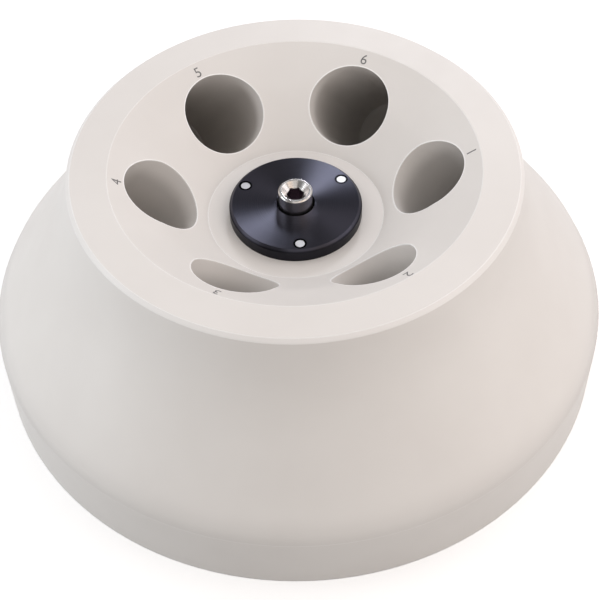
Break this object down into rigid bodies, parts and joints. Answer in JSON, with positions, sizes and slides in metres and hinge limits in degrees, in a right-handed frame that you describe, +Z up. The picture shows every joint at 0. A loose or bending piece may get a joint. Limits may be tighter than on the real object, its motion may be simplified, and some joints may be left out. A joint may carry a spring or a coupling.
{
  "type": "fixed angle rotor",
  "caption": "Fixed angle centrifuge rotor: moulded body with tilted blind bores for conical tubes, dark clamping disc and captive central screw.",
  "frame": {"origin": "centre of the rest ring's plane, on the spin axis", "axes": "+Z up along the spin axis, +X through tube bore 1"},
  "size_m": [0.2296, 0.2296, 0.0894],
  "materials": {
    "body_plastic": "satin moulded polypropylene, warm off-white",
    "dark_anodised": "turned and dark anodised, satin",
    "bare_aluminium": "fine turned",
    "stainless": "turned and polished stainless steel",
    "bronze": "plain turned bronze",
    "spring_steel": "blackened spring steel"
  },
  "bodies": {
    "rotor": {"rotor_body": "body_plastic", "hub_bush": "bare_aluminium", "hub_disc": "dark_anodised", "hub_screws": "stainless", "thrust_washer": "bronze"},
    "clip": {"retaining_clip": "spring_steel"},
    "screw": {"clamp_screw": "stainless"}
  },
  "joints": [
    {"name": "screw_lift", "type": "slide", "parent": "rotor", "child": "clip", "axis": [0, 0, 1], "range_m": [0, 0.0035]},
    {"name": "screw_turn", "type": "hinge", "parent": "clip", "child": "screw", "pos_m": [0, 0, 0.0693], "axis": [0, 0, 1], "continuous": true}
  ]
}
